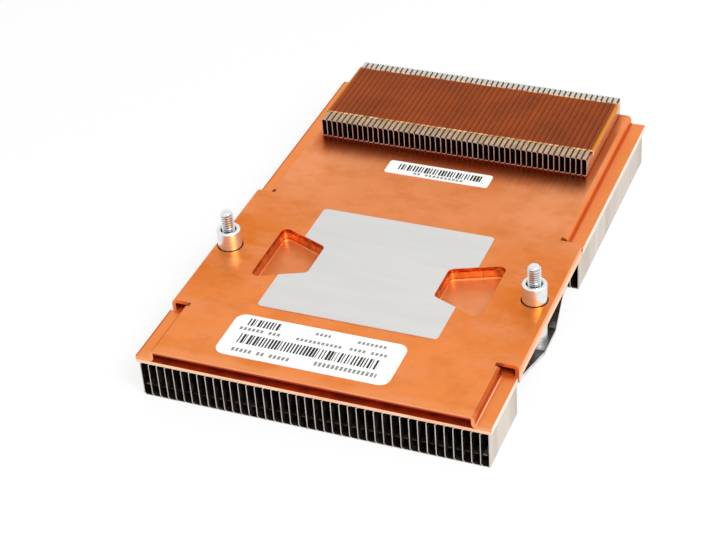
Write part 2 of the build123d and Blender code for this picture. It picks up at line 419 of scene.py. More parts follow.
def cut_above(height):
    """In edit mode, removes what is selected above a height and closes the cut."""
    bpy.ops.mesh.bisect(
        plane_co=(0, 0, height), plane_no=(0, 0, 1), use_fill=True, clear_outer=True, threshold=MERGE_DISTANCE
    )


def soften(piece, width, sharp_angle):
    """Rounds the edges over an angle, and shades the rest smoothly with flat faces kept flat."""
    if width > 0:
        apply(piece, "BEVEL", width=width, segments=2, limit_method="ANGLE", angle_limit=sharp_angle)
    bpy.ops.object.shade_smooth_by_angle(angle=sharp_angle)
    apply(piece, "WEIGHTED_NORMAL", keep_sharp=True)


def stand_in(piece, node, body):
    """Puts a finished piece in the place of a CAD node."""
    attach(piece, body)
    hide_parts(node)


def paint(piece, finishes, choose):
    """Gives each face of a piece the finish whose key a function of the face chooses."""
    piece.data.materials.clear()
    for finish in finishes.values():
        piece.data.materials.append(finish)
    order = list(finishes)
    for face in piece.data.polygons:
        face.material_index = order.index(choose(face))


def paint_all(piece, finish):
    """Gives all faces of a piece one finish."""
    paint(piece, {"all": finish}, lambda face: "all")


def dress(node, name, width, finish, body):
    """Puts a copy with edges rounded to a width, and of one finish, in the place of a CAD node."""
    piece = clean_copy(node, name)
    soften(piece, width, SHEET_ANGLE)
    paint_all(piece, finish)
    stand_in(piece, node, body)


def from_screw(x, y, squeeze=1.0):
    """Distance from the axis of the nearer screw, which may be squeezed along Y."""
    low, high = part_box("right_screw")
    middle = (low + high) / 2
    aside, along = abs(x) - middle.x, (y - middle.y) * squeeze
    return (aside * aside + along * along).root()


def copper_finish(name):
    """Satin rolled copper, mottled, browned around the screws, with painted shade in front of the second stack."""
    plates = settings("plates")
    finish = Finish(name)
    x, y, z = finish.axes()
    clouds = finish.noise(42, 4, 0.62)
    blotches = finish.span(finish.noise(105, location=(0.3, 0.1, 0)), 0.50, 0.72)
    rolled = finish.streaks((1500, 36, 90))
    specks = finish.span(finish.noise(900, 2, 0.5), 0.64, 0.80)
    colour = finish.mix(finish.span(y, -45 * MM, 5 * MM), plates.front_copper, plates.back_copper)
    pale = finish.span(abs(x) + (clouds - 0.5) * 20 * MM, 14 * MM, 34 * MM) * finish.span(y, -8 * MM, 14 * MM)
    colour = finish.mix(pale * 0.7, colour, plates.pale_copper)
    browned = finish.span(from_screw(x, y, 0.7) + (clouds - 0.5) * 22 * MM, 6 * MM, 23 * MM, 1.0, 0.0)
    colour = finish.mix(browned, colour, plates.tanned_copper)
    colour = finish.mix(blotches * 0.50, colour, plates.tanned_copper)
    clusters = finish.streaks((60, 110, 60), 5, 0.68, location=(0.7, 0.4, 0), rotation=(0, 0, 0.6))
    rosy = finish.span(clusters, 0.46, 0.66)
    colour = finish.mix(rosy * 0.72, colour, plates.rosy_copper)
    smears = finish.span(finish.streaks((85, 130, 60), 5, 0.66), 0.48, 0.70)
    colour = finish.mix(smears * 0.36, colour, toned(plates.tanned_copper, 0.8))
    uneven = (clouds - 0.5) * 9 * MM + (rolled - 0.5) * 5 * MM
    # Painted shade on the plate at the foot of the second stack, with uneven edges
    stain = finish.span(y + uneven, STACK_LOW.y - 10.5 * MM, STACK_LOW.y - 1.5 * MM)
    beside = finish.span(abs(x), STACK_HIGH.x - 1 * MM, STACK_HIGH.x + 2.5 * MM, 1.0, 0.0)
    colour = finish.mix(stain * beside * 0.9, colour, plates.shade_and_stain_copper)
    colour = finish.mix(specks * 0.30, colour, plates.tanned_copper)
    colour = bend_colour(finish, (x, y, z), clouds, colour)
    normal = finish.bump(rolled + 0.6 * blotches, 0.10)
    roughness = 0.24 + 0.12 * clouds + 0.08 * rolled
    return finish.surface(
        base_color=colour, metallic=1.0, roughness=roughness, specular_tint=opaque(plates.gloss), normal=normal
    )


def bend_colour(finish, axes, clouds, colour):
    """Rolled copper's colour with painted highlight and shade on its creases and tray walls, its flanges, a
    painted highlight along the front and the shaded left edge.
    """
    plates = settings("plates")
    x, y, z = axes
    from_wall = abs(x) - TRAY_WALL
    crease = finish.span(abs(from_wall - 0.20 * MM), 0.10 * MM, 0.24 * MM, 1.0, 0.0) * (z < FLANGE_TOP + 0.4 * MM)
    wall = from_wall.between(-0.9 * MM, 0.1 * MM) * z.between(FLANGE_TOP + 0.3 * MM, COVER_HIGH.z - 0.1 * MM)
    at_back = y > 0
    # Painted light that changes from front to back: at the front a painted highlight on the crease and painted
    # shade on the tray wall, at the back painted shade on the crease and a painted highlight on the wall
    colour = finish.mix(crease * (1 - at_back) * 0.75, colour, plates.highlight_edge)
    colour = finish.mix(crease * at_back * 0.75, colour, plates.shade_and_stain_copper)
    colour = finish.mix(wall * (1 - at_back) * 0.55, colour, plates.shade_and_stain_copper)
    colour = finish.mix(wall * at_back * 0.55, colour, plates.front_copper)
    flange = (from_wall > 0.4 * MM) * (z < FLANGE_TOP + 0.1 * MM)
    colour = finish.mix(flange * 0.7, colour, plates.front_copper)
    # A painted highlight band along the front edge of the cover
    wear_and_sheen = finish.span(y + (clouds - 0.5) * 3 * MM, COVER_LOW.y + 1.2 * MM, COVER_LOW.y + 3.2 * MM, 0.4, 0.0)
    colour = finish.mix(wear_and_sheen, colour, plates.bare_edge)
    away = finish.span(x, COVER_LOW.x + 0.15 * MM, COVER_LOW.x + 0.60 * MM, 0.75, 0.0)
    return finish.mix(away, colour, plates.shade_and_stain_copper)


def vivid_finish(name):
    """Clean copper with the upright streaks of a cutter, and a painted highlight on the solder line at its foot.
    """
    plates = settings("plates")
    finish = Finish(name)
    _, _, z = finish.axes()
    streaks = finish.streaks((800, 800, 50), 2, 0.5)
    glints = finish.span(streaks, 0.30, 0.80)
    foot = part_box("base_sheet")[1].z
    colour = finish.mix(glints, toned(plates.vivid_copper, 0.55), plates.cutter_glint)
    joint = finish.span(abs(z - foot - 0.62 * MM), 0.08 * MM, 0.22 * MM, 0.75, 0.0)
    colour = finish.mix(joint, colour, plates.shade_and_stain_copper)
    # Painted highlight along the solder line at the foot of the walls
    colour = finish.mix(finish.span(z, foot + 0.2 * MM, foot + 0.4 * MM, 0.9, 0.0), colour, plates.solder)
    normal = finish.bump(streaks, 0.30, COARSE_GRAIN)
    return finish.surface(base_color=colour, metallic=1.0, roughness=0.20 + 0.18 * streaks, normal=normal)


def cavity_finish(name):
    """Clean copper out of the light, with patches of flux, and painted light under the relief slits."""
    plates = settings("plates")
    finish = Finish(name)
    patches = finish.span(finish.noise(160), 0.42, 0.68)
    colour = finish.mix(patches, plates.cavity, toned(plates.cavity, 0.35))
    x, y, _ = finish.axes()
    # Painted light under the relief slits
    under_slits = finish.span(abs(x), TRAY_WALL - 2.5 * MM, TRAY_WALL - 1.5 * MM) * (y > COVER_LOW.y + 8 * MM)
    colour = finish.mix(under_slits, colour, plates.slit_light)
    return finish.surface(base_color=colour, metallic=0.45, roughness=0.38 + 0.2 * patches)


def pocket_floor_finish(name):
    """Rolled copper at the bottom of the pockets."""
    plates = settings("plates")
    finish = Finish(name)
    clouds = finish.noise(130)
    rolled = finish.streaks((1500, 36, 90))
    bright = toned(plates.back_copper, 1.06)
    dull = toned(plates.front_copper, 0.86)
    colour = finish.mix(finish.span(clouds, 0.35, 0.65), bright, dull)
    normal = finish.bump(rolled, 0.10)
    return finish.surface(base_color=colour, metallic=0.7, roughness=0.30 + 0.16 * clouds, normal=normal)


def rim_finish(name):
    """Dark punched edge of the cover around the pockets, with worn spots."""
    plates = settings("plates")
    finish = Finish(name)
    wear_and_sheen = finish.span(finish.noise(420, scale=(1, 1, 3)), 0.46, 0.66)
    colour = finish.mix(wear_and_sheen, plates.shade_and_stain_copper, plates.tanned_copper)
    return finish.surface(base_color=colour, metallic=0.9, roughness=0.34 + 0.2 * wear_and_sheen)


def bare_edge_finish(name, pale, warm, fade=None, within=None):
    """Sheared copper edge in a pale colour, which on the lips, side edges and base sheet edges is a painted
    highlight, with warmer patches and fine tear marks.

    A fade is the height where it begins, the height where it ends, and the colour there. It may be kept
    within a distance from the middle.
    """
    finish = Finish(name)
    tears = finish.streaks((900, 900, 120))
    patches = finish.span(finish.noise(90), 0.42, 0.66)
    colour = finish.mix(patches * 0.5, pale, warm)
    if fade:
        begin, end, tint = fade
        x, _, z = finish.axes()
        faded = finish.span(z, begin, end)
        if within:
            faded = faded * (abs(x) < within)
        colour = finish.mix(faded, colour, tint)
    normal = finish.bump(tears, 0.12)
    return finish.surface(base_color=colour, metallic=0.7, roughness=0.30 + 0.15 * tears, normal=normal)


def cut_edge_finish(name, colour, tint):
    """Bare sheared sheet: pale, with small changes of tone along it."""
    finish = Finish(name)
    tone = finish.noise(260)
    grain = finish.noise(6.0, 2, 0.5, scale=(300, 60, 300))
    base = finish.mix(finish.span(tone, 0.35, 0.7), colour, tint)
    normal = finish.bump(grain, 0.06)
    return finish.surface(base_color=base, metallic=0.35, roughness=0.30 + 0.22 * tone, normal=normal)


def tab_finish(name):
    """Plated tabs of the second stack, brownish in front of the film and pale behind it."""
    fins = settings("fins")
    finish = Finish(name)
    _, y, _ = finish.axes()
    tone = finish.noise(260)
    behind = y > (STACK_LOW.y + STACK_HIGH.y) / 2
    colour = finish.mix(finish.span(tone, 0.35, 0.7), fins.plated_tab, toned(fins.plated_tab, 0.7))
    colour = finish.mix(behind * 0.9, colour, fins.cut_edge)
    return finish.surface(base_color=colour, metallic=0.35, roughness=0.30 + 0.22 * tone)


def outer_fin_finish(name):
    """Rolled sheet of the outermost fins, with hazy vertical bands."""
    fins = settings("fins")
    finish = Finish(name)
    bands = finish.streaks((10, 85, 12), 3, 0.55)
    rolled = finish.streaks((90, 30, 1400), 2, 0.5)
    bright, dull = fins.outer_fin, toned(fins.outer_fin, 0.72)
    colour = finish.mix(finish.span(bands, 0.36, 0.64), bright, dull)
    normal = finish.bump(rolled, 0.06)
    return finish.surface(base_color=colour, metallic=0.55, roughness=0.30 + 0.2 * bands, normal=normal)


def stack_side_finish(name):
    """Plated sheet of the second stack's sides, rolled along its length and bright enough to mirror the copper."""
    fins = settings("fins")
    finish = Finish(name)
    rolled = finish.streaks((90, 40, 1500))
    haze = finish.noise(110)
    warm = toned(fins.stack_side, 0.72)
    colour = finish.mix(finish.span(haze, 0.35, 0.7), fins.stack_side, warm)
    normal = finish.bump(rolled, 0.08)
    return finish.surface(base_color=colour, metallic=0.9, roughness=0.22 + 0.14 * haze, normal=normal)


def shaded_wall_finish(name, colour, tint):
    """Painted shade on the walls, hooks and folds between fins."""
    finish = Finish(name)
    tone = finish.span(finish.noise(330), 0.45, 0.75)
    base = finish.mix(tone, colour, tint)
    return finish.surface(base_color=base, metallic=0.4, roughness=0.42 + 0.2 * tone, specular_ior_level=0.2)


def film_finish(name):
    """Amber film with the fins showing through it as stripes, and light caught in its edges."""
    fins = settings("fins")
    low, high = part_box("insulating_film")
    finish = Finish(name)
    x, y, _ = finish.axes()
    phase = ((STACK_HIGH.x - x) / STACK_PITCH).fraction()
    slit = finish.span(abs(phase - 0.94), 0.05, 0.20, 1.0, 0.0)
    shine = finish.span(abs(phase - 0.62), 0.04, 0.22, 1.0, 0.0)
    clouds = finish.noise(48, 4, 0.6)
    fibres = finish.streaks((2400, 30, 30), 2, 0.5)
    pale = toned(fins.film, 1.9)
    colour = finish.mix(finish.span(clouds + 0.25 * fibres, 0.42, 0.80), fins.film, pale)
    colour = finish.mix(shine * 0.26, colour, fins.film_shine)
    colour = finish.mix(slit * 0.75, colour, toned(fins.film, 0.38))
    to_side = high.x - abs(x)
    to_end = finish.math("MINIMUM", y - low.y, high.y - y)
    # Painted highlight on the film where it folds down
    colour = finish.mix(finish.span(to_side, 0.3 * MM, 0.95 * MM, 0.9, 0.0), colour, fins.film_fold_highlight)
    catch = finish.span(finish.streaks((420, 20, 20), 2, 0.5), 0.36, 0.60, 0.25, 1.0)
    edge = finish.span(to_end, 0.25 * MM, 0.75 * MM, 1.0, 0.0) * (1 - slit) * catch
    colour = finish.mix(edge, colour, fins.film_edge)
    normal = finish.bump(0.5 * shine - slit + 0.3 * clouds, 0.15, COARSE_GRAIN)
    roughness = 0.34 + 0.15 * clouds
    return finish.surface(base_color=colour, roughness=roughness, specular_ior_level=0.06, normal=normal)


def thermal_finish(name):
    """Grey thermal layer with faint smears."""
    plates = settings("plates")
    finish = Finish(name)
    smear = finish.streaks((40, 260, 40), 4, 0.6, rotation=(0, 0, 0.5))
    grain = finish.noise(1500, 2, 0.5)
    darker = toned(plates.thermal_grey, 0.955)
    colour = finish.mix(finish.span(smear, 0.40, 0.66), plates.thermal_grey, darker)
    normal = finish.bump(smear + 0.3 * grain, 0.12, COARSE_GRAIN)
    return finish.surface(base_color=colour, metallic=0.15, roughness=0.46 + 0.12 * smear, normal=normal)


def sticker_finish(name, node, bars, dashes):
    """White sticker with rows of plain bars and dashes, placed in millimetres from its middle."""
    stickers = settings("stickers")
    low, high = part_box(node)
    finish = Finish(name)
    x, y, _ = finish.axes(location=-(low + high) / 2)
    printed = None
    for index, (left, right, front, back) in enumerate(bars + dashes):
        barred = index < len(bars)
        step = (x - left * MM) / (stickers.bar_pitch if barred else stickers.dash_pitch)
        chance = finish.chance(step.floor() + 61.7 * (index + 1))
        shade = step.fraction() < (0.26 + 0.54 * chance if barred else 0.66 * (chance > 0.14))
        if not barred:
            shade = shade * 0.72
        row = x.between(left * MM, right * MM) * y.between(front * MM, back * MM) * shade
        printed = row if printed is None else printed.either(row)
    fibre = finish.noise(900)
    paper = finish.mix(finish.span(fibre, 0.4, 0.7), stickers.paper, toned(stickers.paper, 0.96))
    colour = finish.mix(printed, paper, stickers.ink)
    normal = finish.bump(fibre, 0.05)
    roughness = 0.46 - 0.06 * printed
    return finish.surface(base_color=colour, roughness=roughness, specular_ior_level=0.2, normal=normal)


def plating_finish(name, roughness, root=None, ring=None):
    """Bright plating with turned rings and a trace of blue.

    Inside a root radius it has painted shade in the thread's roots, and at a height a ring of painted shade, the
    shade of the gap around the sleeve.
    """
    fasteners = settings("fasteners")
    finish = Finish(name)
    x, y, z = finish.axes()
    rings = finish.streaks((20, 20, 1600), 2, 0.5)
    stain = finish.span(finish.noise(420), 0.45, 0.72)
    colour = finish.mix(stain * 0.6, fasteners.plating, fasteners.blue_haze)
    if root is not None:
        # Painted shade in the thread's roots, on the stud between the sleeve and the tip
        depth = finish.span(from_screw(x, y), root, root + 0.22 * MM, 1.0, 0.0)
        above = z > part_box("right_sleeve")[1].z - 1 * MM
        below_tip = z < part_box("right_screw")[1].z - 0.55 * MM
        colour = finish.mix(depth * above * below_tip * 0.8, colour, fasteners.thread_root_shade)
    if ring is not None:
        # A ring of painted shade, the shade of the gap between the sleeve and the cover's hole
        gap_shade = finish.span(abs(z - ring), 0.20 * MM, 0.32 * MM, 0.85, 0.0)
        colour = finish.mix(gap_shade, colour, fasteners.sleeve_gap_shade)
    normal = finish.bump(rings, 0.04)
    return finish.surface(base_color=colour, metallic=0.9, roughness=roughness + 0.14 * stain, normal=normal)


def spring_finish(name, tone):
    """Strip steel, rolled along its length, at a share of its tone: one of the lit and shaded copies of the
    springs' steel.
    """
    fasteners = settings("fasteners")
    finish = Finish(name)
    rolled = finish.streaks((1400, 40, 40))
    stain = finish.span(finish.noise(120, 4, 0.6), 0.40, 0.70)
    bare = toned(fasteners.spring_steel, tone)
    colour = finish.mix(stain, bare, toned(bare, 0.62))
    normal = finish.bump(rolled, 0.15)
    return finish.surface(base_color=colour, metallic=1.0, roughness=0.26 + 0.2 * stain, normal=normal)


class HEATSINK_OT_dress_plates(bpy.types.Operator):
    """Softens the edges of the cover and base sheet, and gives each face its copper"""

    bl_idname = "heatsink.dress_plates"
    bl_label = "Dress Plates"

    def execute(self, context):
        plates = settings("plates")
        shaded = COVER_HIGH.z - 0.35 * MM, COVER_HIGH.z - 0.65 * MM, plates.shade_and_stain_copper
        # The lips keep their painted highlight below this height and turn to bare copper above it
        turned = FIN_HIGH.z + 1.6 * MM, FIN_HIGH.z + 2.1 * MM, plates.bare_edge
        # The side edges get a painted highlight
        side = bare_edge_finish("side_copper_edge", plates.side_highlight, plates.highlight_edge)
        cover_finishes = {
            "rolled": copper_finish("rolled_copper"),
            "sheared": bare_edge_finish(
                "sheared_copper", plates.bare_edge, plates.front_copper, shaded, TRAY_WALL - 1 * MM
            ),
            "lip": bare_edge_finish("lip_copper_edge", plates.highlight_edge, plates.bare_edge, turned),
            "clean": vivid_finish("clean_copper"),
            "rim": rim_finish("pocket_rim"),
            "side": side,
            "slit": bare_edge_finish("slit_copper_edge", plates.front_copper, plates.tanned_copper),
        }
        base_finishes = {
            "cavity": cavity_finish("tray_copper"),
            "bright": bare_edge_finish("bright_copper_edge", plates.highlight_edge, plates.bare_edge),
            "pocket_floor": pocket_floor_finish("pocket_floor"),
            "side": side,
        }
        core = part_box("spreader_core")[1]
        pocket_reach = core.x - 3 * MM
        outside = COVER_HIGH.x - 0.6 * MM
        end = COVER_HIGH.y - 1 * MM

        def part_of_cover(face):
            if abs(face.normal.x) > 0.95 and abs(face.center.x) > outside:
                return "lip" if WING_FRONT < face.center.y < WING_BACK else "side"
            if abs(face.center.x) < pocket_reach and abs(face.center.y) < end:
                return "rim" if abs(face.normal.z) < 0.5 else "rolled"
            if face.normal.z < -0.5:
                return "clean"
            if abs(face.normal.y) > 0.7:
                return "sheared" if abs(face.center.y) > end else "slit"
            return "rolled"

        def part_of_base(face):
            if face.normal.z < 0.5:
                return "side" if abs(face.normal.x) > 0.7 else "bright"
            on_core = abs(face.center.x) < core.x and abs(face.center.y) < core.y
            return "pocket_floor" if on_core else "cavity"

        looks = {
            "cover_plate": (cover_finishes, part_of_cover),
            "base_sheet": (base_finishes, part_of_base),
        }
        for node, (finishes, choose) in looks.items():
            piece = clean_copy(node, f"copper_{node}")
            soften(piece, plates.edge_softness, SHEET_ANGLE)
            if node == "base_sheet":
                self.mark_core(core)
            paint(piece, finishes, choose)
            stand_in(piece, node, ROOT)
        return {"FINISHED"}

    def mark_core(self, corner):
        """Divides the active sheet's faces along the outline of the core that lies on it."""
        with editing():
            for axis in (Vector((1, 0, 0)), Vector((0, 1, 0))):
                for sign in (-1, 1):
                    bpy.ops.mesh.select_all(action="SELECT")
                    place = axis * (sign * corner.dot(axis))
                    bpy.ops.mesh.bisect(plane_co=place, plane_no=axis, threshold=MERGE_DISTANCE)


class HEATSINK_OT_dress_core(bpy.types.Operator):
    """Gives the core its milled pocket walls"""

    bl_idname = "heatsink.dress_core"
    bl_label = "Dress Core"

    def execute(self, context):
        dress("spreader_core", "milled_core", 0.0, vivid_finish("milled_copper"), ROOT)
        return {"FINISHED"}


class HEATSINK_OT_dress_fins(bpy.types.Operator):
    """Closes the gaps beside the main fins' lower tabs, and tells their cut edges from their walls"""

    bl_idname = "heatsink.dress_fins"
    bl_label = "Dress Main Fins"

    def execute(self, context):
        fins = settings("fins")
        finishes = {
            "edge": cut_edge_finish("cut_aluminium", fins.cut_edge, fins.dull_edge),
            # The walls and hooks inside the cells get painted shade
            "wall": shaded_wall_finish("shaded_aluminium", fins.cell, fins.cell_haze),
            "hook": shaded_wall_finish("shaded_hook", fins.hook, fins.hook_haze),
            "outer": outer_fin_finish("outer_fin"),
        }

        def part_of_fin(face):
            if abs(face.normal.y) > 0.5:
                at_end = abs(face.center.y) > FIN_HIGH.y - NEAR
                at_wing = abs(face.center.y) < FIN_HIGH.y - 6 * MM
                return "edge" if at_end or at_wing else "hook"
            if abs(face.center.x - FIN_LOW.x) < NEAR or abs(face.center.x - FIN_HIGH.x) < NEAR:
                return "outer"
            if HOOK_LOW - NEAR < face.center.z < HOOK_HIGH + NEAR and abs(face.normal.x) < 0.5:
                return "hook"
            return "wall" if face.center.z > NEAR else "edge"

        def part_of_outer_cell(face):
            """As part_of_fin, but with the hook in the light."""
            part = part_of_fin(face)
            return "edge" if part == "hook" else part

        for node in FIN_NODES:
            piece = clean_copy(node, node.replace("main_fin", "folded_fin"))
            if node != FIN_NODES[-1]:
                self.close_tab(piece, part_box(node)[1].x, FIN_GAP if node == FIN_NODES[-2] else TAB_REACH)
            soften(piece, 0.0, FIN_ANGLE)
            paint(piece, finishes, part_of_outer_cell if node in (FIN_NODES[0], FIN_NODES[-2]) else part_of_fin)
            stand_in(piece, node, ROOT)
        return {"FINISHED"}

    def close_tab(self, piece, end, reach):
        """Draws the lower tab out until it meets the next fin."""
        with editing():
            select(piece, lambda vertex: vertex.co.x > end - TAB_REACH and vertex.co.z < TAB_REACH)
            bpy.ops.transform.translate(value=(reach, 0, 0))


class HEATSINK_OT_dress_board_fins(bpy.types.Operator):
    """Smooths the folds of the second stack, and plates its tabs"""

    bl_idname = "heatsink.dress_board_fins"
    bl_label = "Dress Second Stack"

    def execute(self, context):
        fins = settings("fins")
        finishes = {
            "tab": tab_finish("plated_tab"),
            "edge": cut_edge_finish("plated_edge", fins.plated_edge, fins.dull_plated_edge),
            "wall": shaded_wall_finish("plated_cell", fins.plated_cell, fins.plated_haze),
            "side": stack_side_finish("plated_side"),
            "fold": shaded_wall_finish("plated_fold", fins.fold, fins.fold_haze),
        }

        def part_of_fin(face):
            if abs(face.normal.y) > 0.5:
                return "edge"
            if face.normal.z > 0.5 and face.center.z > STACK_HIGH.z - FOLD:
                return "tab" if face.normal.z > 0.95 else "fold"
            if face.normal.z < -0.5 and face.center.z < STACK_LOW.z + FOLD:
                return "tab"
            outer = face.center.x < STACK_LOW.x + NEAR or face.center.x > STACK_HIGH.x - NEAR
            return "side" if outer else "wall"

        piece = clean_copy("board_side_fins", "low_fin_stack")
        soften(piece, 0.0, FIN_ANGLE)
        paint(piece, finishes, part_of_fin)
        stand_in(piece, "board_side_fins", ROOT)
        return {"FINISHED"}


class HEATSINK_OT_dress_film(bpy.types.Operator):
    """Smooths the film's folds and makes it amber"""

    bl_idname = "heatsink.dress_film"
    bl_label = "Dress Film"

    def execute(self, context):
        dress("insulating_film", "amber_film", 0.0, film_finish("amber_film"), ROOT)
        return {"FINISHED"}


class HEATSINK_OT_dress_skins(bpy.types.Operator):
    """Gives the thermal layer and the stickers their faces"""

    bl_idname = "heatsink.dress_skins"
    bl_label = "Dress Thermal Layer and Stickers"

    def execute(self, context):
        large_bars = [(-19.5, -10.8, 4.2, 7.1), (-19.3, 18.6, -3.1, 0.7)]
        large_dashes = [
            (-20.8, -9.4, 2.1, 3.3), (-19.3, -3.2, -6.5, -5.1), (3.0, 19.6, -6.0, -4.4), (9.4, 19.6, 2.2, 3.3),
            (-5.1, 7.4, 2.1, 3.2), (10.4, 19.2, 5.3, 6.4), (-1.1, 3.0, 5.4, 6.5),
        ]
        small_bars = [(-12.0, 13.0, -0.9, 2.0)]
        small_dashes = [(-6.8, 8.8, -2.3, -1.3)]
        finishes = {
            "thermal_pad": thermal_finish("thermal_layer"),
            "large_label": sticker_finish("large_sticker", "large_label", large_bars, large_dashes),
            "small_label": sticker_finish("small_sticker", "small_label", small_bars, small_dashes),
        }
        for node, finish in finishes.items():
            paint_all(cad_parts[node], finish)
        return {"FINISHED"}


class HEATSINK_OT_dress_springs(bpy.types.Operator):
    """Softens the leaf springs and paints their faces"""

    bl_idname = "heatsink.dress_springs"
    bl_label = "Dress Leaf Springs"

    def execute(self, context):
        # Lit and shaded copies of one steel: painted highlight on the edges, painted shade on the seat and deep
        # painted shade on the upper faces of the legs
        tones = {"spring_edge_highlight": 1.55, "spring_strip": 0.95, "spring_seat": 0.62, "shaded_spring_strip": 0.13}
        finishes = {name: spring_finish(name, tone) for name, tone in tones.items()}

        def part_of_spring(face):
            if abs(face.normal.x) > 0.5 or abs(face.normal.y) > 0.95:
                return "spring_edge_highlight"
            if face.normal.z < 0.3:
                return "spring_strip"
            on_seat = face.normal.z > 0.97 and face.center.z < SPRING_SEAT + 0.2 * MM
            return "spring_seat" if on_seat else "shaded_spring_strip"

        for side in SIDES:
            node = f"{side}_leaf_spring"
            piece = clean_copy(node, f"{side}_bent_strip")
            soften(piece, SPRING_EDGE, SHEET_ANGLE)
            paint(piece, finishes, part_of_spring)
            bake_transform(piece)
            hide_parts(node)
        return {"FINISHED"}


class HEATSINK_OT_dress_sleeves(bpy.types.Operator):
    """Softens and plates the sleeves"""

    bl_idname = "heatsink.dress_sleeves"
    bl_label = "Dress Sleeves"

    def execute(self, context):
        # The sleeves get a ring of painted shade just below the cover's top
        plating = plating_finish("bright_sleeve", 0.27, ring=COVER_HIGH.z - 0.15 * MM)
        for side in SIDES:
            name, body = f"{side}_bright_sleeve", f"{side}_sleeve_body"
            dress(f"{side}_sleeve", name, TURNED_EDGE, plating, body)
        return {"FINISHED"}


class HEATSINK_OT_dress_screws(bpy.types.Operator):
    """Puts a threaded stud in the place of the screws' plain one"""

    bl_idname = "heatsink.dress_screws"
    bl_label = "Dress Screws"

    def execute(self, context):
        self.root = SCREW_RADIUS - settings("fasteners").thread_depth
        plating = plating_finish("zinc_screw", 0.20, self.root)
        for side in SIDES:
            node = f"{side}_screw"
            piece = clean_copy(node, f"{side}_threaded_screw")
            low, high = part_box(node)
            sleeve_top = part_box(f"{side}_sleeve")[1].z
            self.cut_off_stud(sleeve_top)
            soften(piece, TURNED_EDGE, SHEET_ANGLE)
            stud = self.threaded_stud((low + high) / 2, sleeve_top, high.z)
            take_up(piece)
            stud.select_set(True)
            bpy.ops.object.join()
            paint_all(piece, plating)
            stand_in(piece, node, f"{side}_screw_body")
        return {"FINISHED"}

    def cut_off_stud(self, height):
        """Removes the active screw's plain stud above a height and closes the cut."""
        with editing():
            bpy.ops.mesh.select_all(action="SELECT")
            cut_above(height)

    def rod(self, name, middle, low, high, radius, bevel):
        """A rod along Z with a bevelled top."""
        bpy.ops.object.select_all(action="DESELECT")
        place = (middle.x, middle.y, (low + high) / 2)
        bpy.ops.mesh.primitive_cylinder_add(vertices=THREAD_STEPS, radius=radius, depth=high - low, location=place)
        piece = bpy.context.object
        piece.name = name
        bpy.ops.object.transform_apply(location=True, rotation=True, scale=True)
        with editing():
            select(piece, lambda vertex: vertex.co.z > high - MERGE_DISTANCE)
            bpy.ops.mesh.bevel(offset=bevel, segments=3, affect="EDGES")
        return piece

    def ridge(self, middle, low, top):
        """A thread's ridge, wound from a plane that is narrowed to a trapezium, and drawn in at the tip."""
        pitch = settings("fasteners").thread_pitch
        side = 0.70 * pitch
        bpy.ops.object.select_all(action="DESELECT")
        bpy.ops.mesh.primitive_plane_add(size=side, rotation=(math.pi / 2, 0, 0))
        piece = bpy.context.object
        piece.name = "stud_ridge"
        bpy.ops.object.transform_apply(location=True, rotation=True, scale=True)
        with editing():
            select(piece, lambda vertex: vertex.co.x > 0)
            bpy.ops.transform.resize(value=(1, 1, 0.2))
            bpy.ops.transform.translate(value=(SCREW_RADIUS - side / 2, 0, 0))
            select(piece, lambda vertex: vertex.co.x < 0)
            bpy.ops.transform.translate(value=(self.root - 0.1 * MM + side / 2, 0, 0))
        turns = math.ceil((top - low) / pitch) + 1
        apply(
            piece, "SCREW", angle=math.tau, screw_offset=pitch, iterations=turns, steps=THREAD_STEPS,
            render_steps=THREAD_STEPS,
        )
        with editing():
            bpy.ops.mesh.select_all(action="SELECT")
            bpy.ops.mesh.remove_doubles(threshold=MERGE_DISTANCE)
            bpy.ops.mesh.fill_holes(sides=4)
            bpy.ops.mesh.select_all(action="SELECT")
            bpy.ops.mesh.normals_make_consistent(inside=False)
            bpy.ops.transform.translate(value=(middle.x, middle.y, low))
            end = top - 0.1 * MM
            cut_above(end)
            for depth, size in ((0.60 * MM, 0.96), (0.40 * MM, 0.92), (0.20 * MM, 0.78)):
                select(piece, lambda vertex: vertex.co.z > end - depth)
                bpy.ops.transform.resize(value=(size, size, 1), center_override=(middle.x, middle.y, end))
        return piece

    def threaded_stud(self, middle, bottom, top):
        """A stud with a thread that runs out at its bevelled tip."""
        foot = bottom - 2 * MM
        ridge = self.ridge(middle, foot, top)
        stud = self.rod("stud", middle, foot, top, self.root, 0.30 * MM)
        take_up(stud)
        ridge.select_set(True)
        bpy.ops.object.join()
        bpy.ops.object.shade_smooth_by_angle(angle=THREAD_ANGLE)
        return stud


